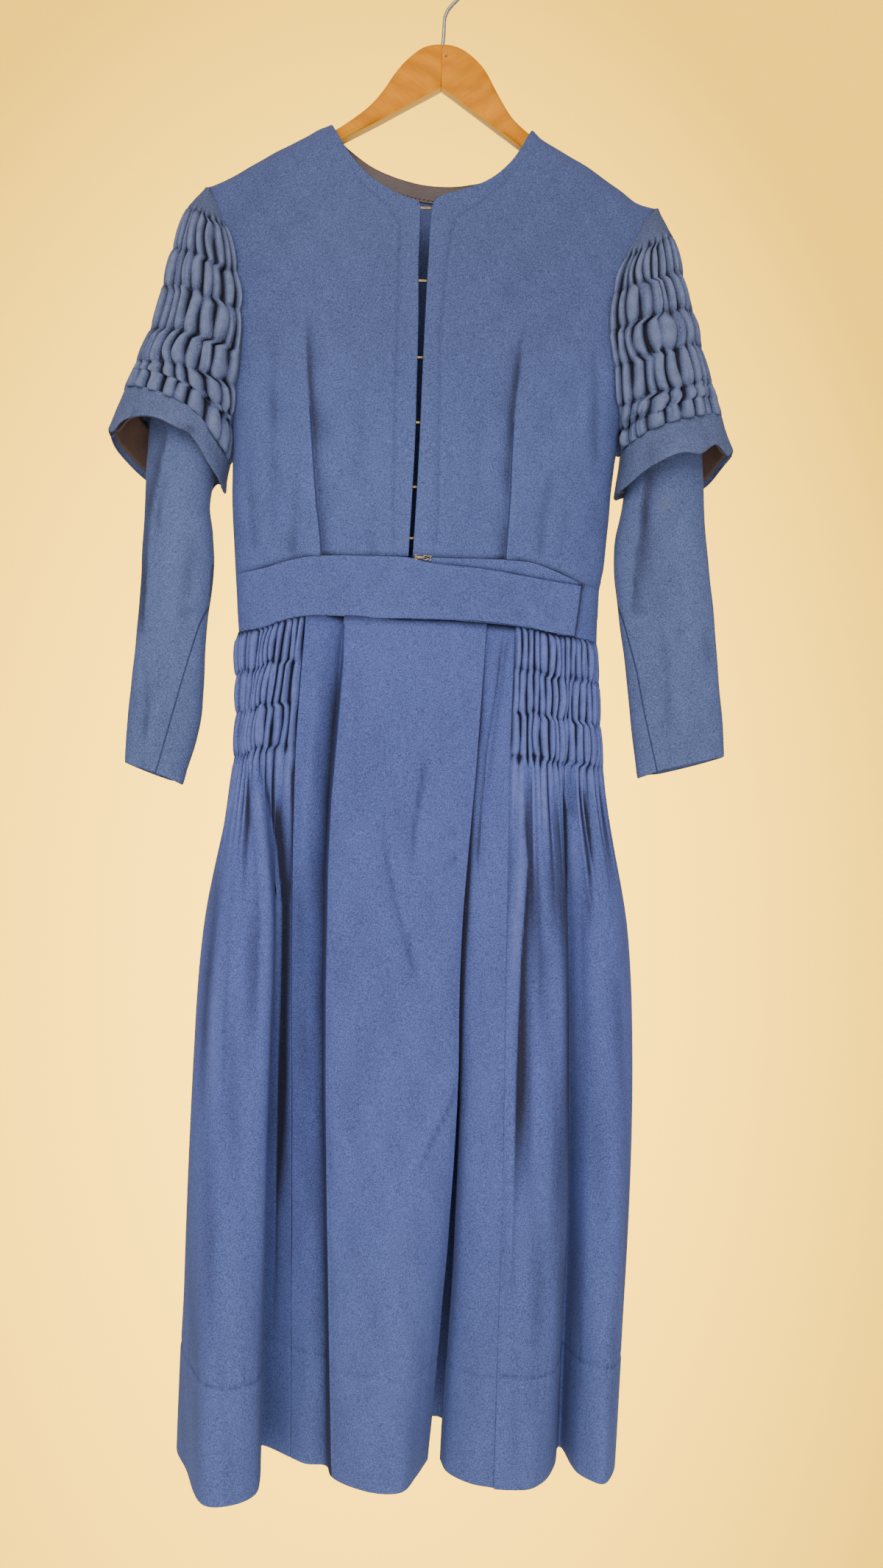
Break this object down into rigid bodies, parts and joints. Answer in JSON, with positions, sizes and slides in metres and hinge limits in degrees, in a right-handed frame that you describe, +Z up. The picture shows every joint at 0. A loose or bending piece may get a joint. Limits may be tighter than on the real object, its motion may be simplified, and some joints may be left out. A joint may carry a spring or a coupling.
{
  "type": "gathered long-sleeved dress on a wooden hanger",
  "caption": "Front-opening wool-crepe dress with shirred short oversleeves over long sleeves, a wrapped waistband and a gathered skirt, on a wooden hanger.",
  "frame": {"origin": "where a rod bears, inside the top of the hanger's hook", "axes": "+Z up along the hanging dress, +X to the wearer's left, -Y to the front"},
  "size_m": [0.5406, 0.147, 1.2933],
  "materials": {
    "blue_crepe": "matte wool crepe",
    "taupe_lining": "dull plain weave",
    "lacquered_wood": "clear lacquer",
    "hook_steel": "drawn wire",
    "fastener_brass": "aged"
  },
  "bodies": {
    "root": {"bodice_front_right": "blue_crepe", "bodice_front_left": "blue_crepe", "bodice_back": "blue_crepe", "oversleeve_right": "blue_crepe", "oversleeve_left": "blue_crepe", "sleeve_band_right": "blue_crepe", "sleeve_band_left": "blue_crepe", "undersleeve_right": "blue_crepe", "undersleeve_left": "blue_crepe", "waistband_right": "blue_crepe", "waistband_left": "blue_crepe", "waistband_back": "blue_crepe", "skirt_front": "blue_crepe", "skirt_under": "blue_crepe", "skirt_side_right": "blue_crepe", "skirt_side_left": "blue_crepe", "skirt_back": "blue_crepe", "neck_facing": "taupe_lining", "sleeve_lining_right": "taupe_lining", "sleeve_lining_left": "taupe_lining", "hook_1": "fastener_brass", "hook_2": "fastener_brass", "hook_3": "fastener_brass", "hook_4": "fastener_brass", "hook_5": "fastener_brass", "hook_6": "fastener_brass", "hook_7": "fastener_brass", "eye_1": "fastener_brass", "eye_2": "fastener_brass", "eye_3": "fastener_brass", "eye_4": "fastener_brass", "eye_5": "fastener_brass", "eye_6": "fastener_brass", "eye_7": "fastener_brass", "hanger_arm_right": "lacquered_wood", "hanger_arm_left": "lacquered_wood", "hanger_hook": "hook_steel"}
  },
  "joints": []
}
